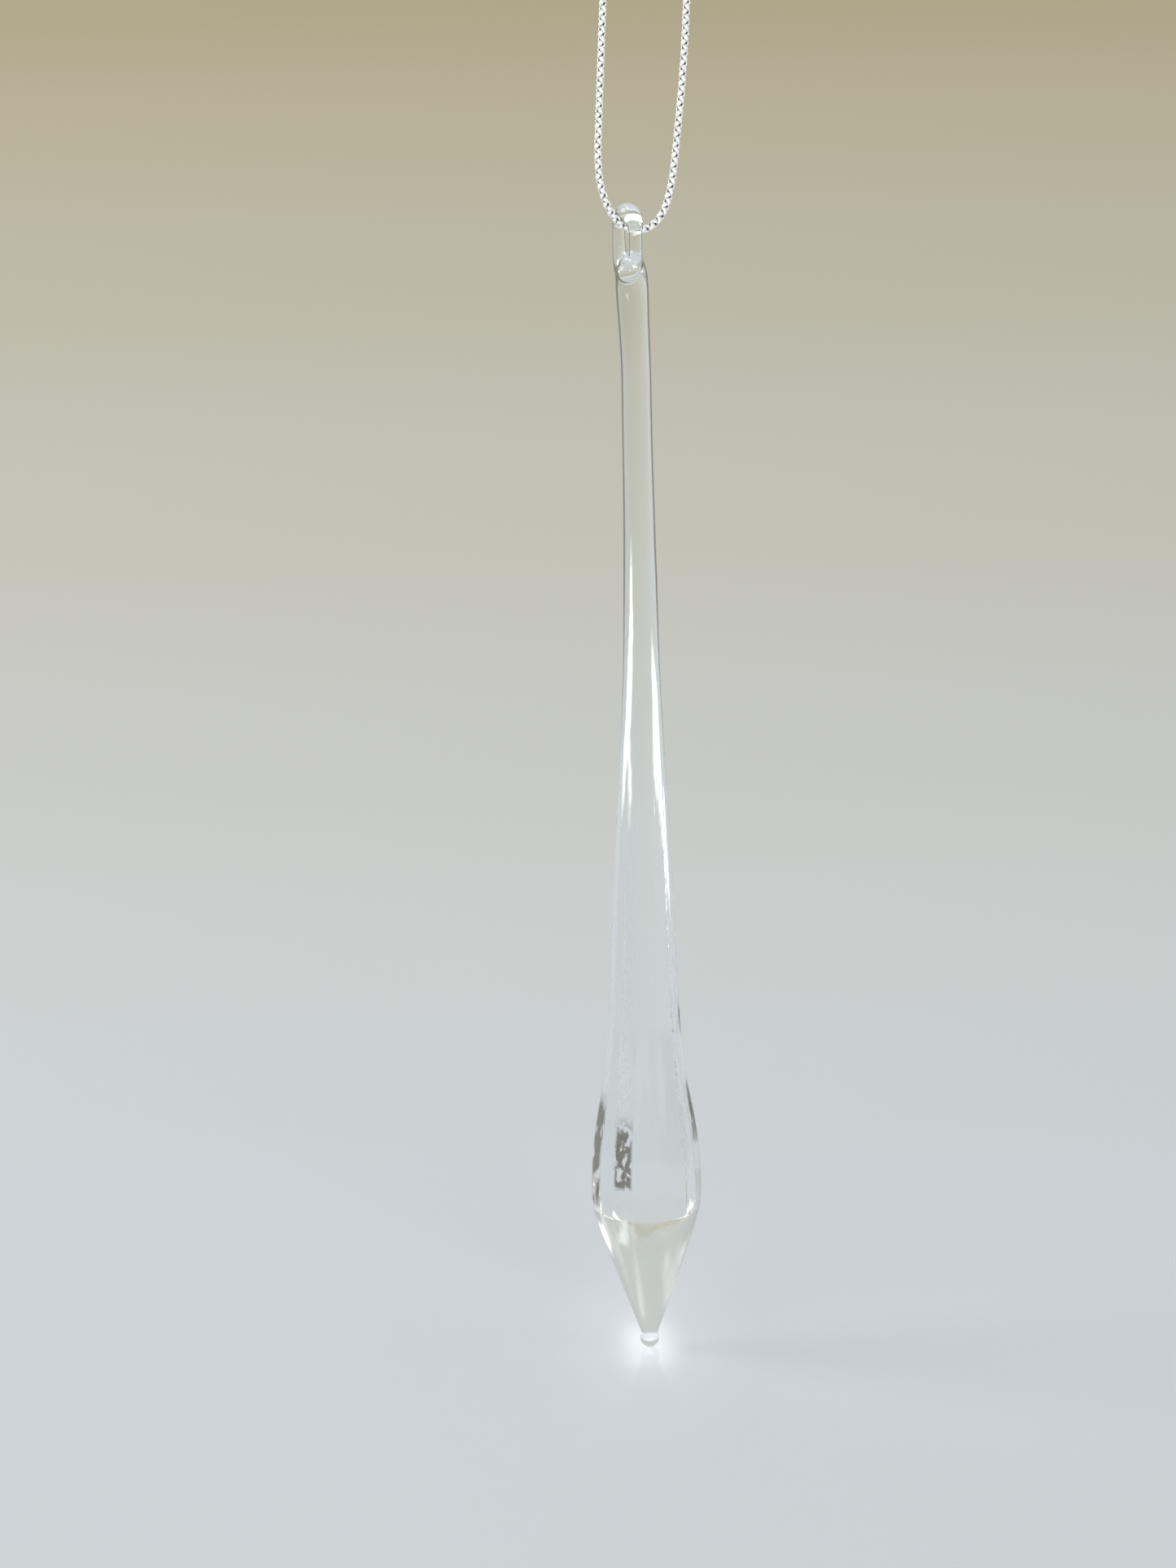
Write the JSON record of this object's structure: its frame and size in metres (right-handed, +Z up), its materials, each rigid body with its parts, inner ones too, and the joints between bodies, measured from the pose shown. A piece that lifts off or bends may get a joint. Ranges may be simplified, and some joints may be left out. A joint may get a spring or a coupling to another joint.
{
  "type": "icicle hanging ornament",
  "caption": "Clear glass icicle drop with long soft facets, a pointed tip and a bent-over glass eye, hung from a tied loop of silver braided cord.",
  "frame": {"origin": "hanging point: the inside top of the cord loop, just under its knot", "axes": "+Z up along the hanging drop, +X along the cord where it passes through the glass eye"},
  "size_m": [0.0161, 0.0138, 0.2166],
  "materials": {
    "clear_glass": "fire-polished, clear",
    "silver_cord": "braided metallic yarn, silver"
  },
  "bodies": {
    "hanger": {"cord_knot": "silver_cord", "cord_tails": "silver_cord", "cord_left_strand": "silver_cord", "cord_right_strand": "silver_cord"},
    "bend": {"cord_bight": "silver_cord"},
    "icicle": {"glass_drop": "clear_glass", "hanging_eye": "clear_glass", "tip_bead": "clear_glass"}
  },
  "joints": [
    {"name": "loop_twist", "type": "hinge", "parent": "hanger", "child": "bend", "pos_m": [0, 0, -0.044], "axis": [0, 0, 1], "range_deg": [-150, 150]},
    {"name": "eye_swing", "type": "hinge", "parent": "bend", "child": "icicle", "pos_m": [0, 0.0009, -0.05535], "axis": [1, 0, 0], "range_deg": [-90, 90]}
  ]
}
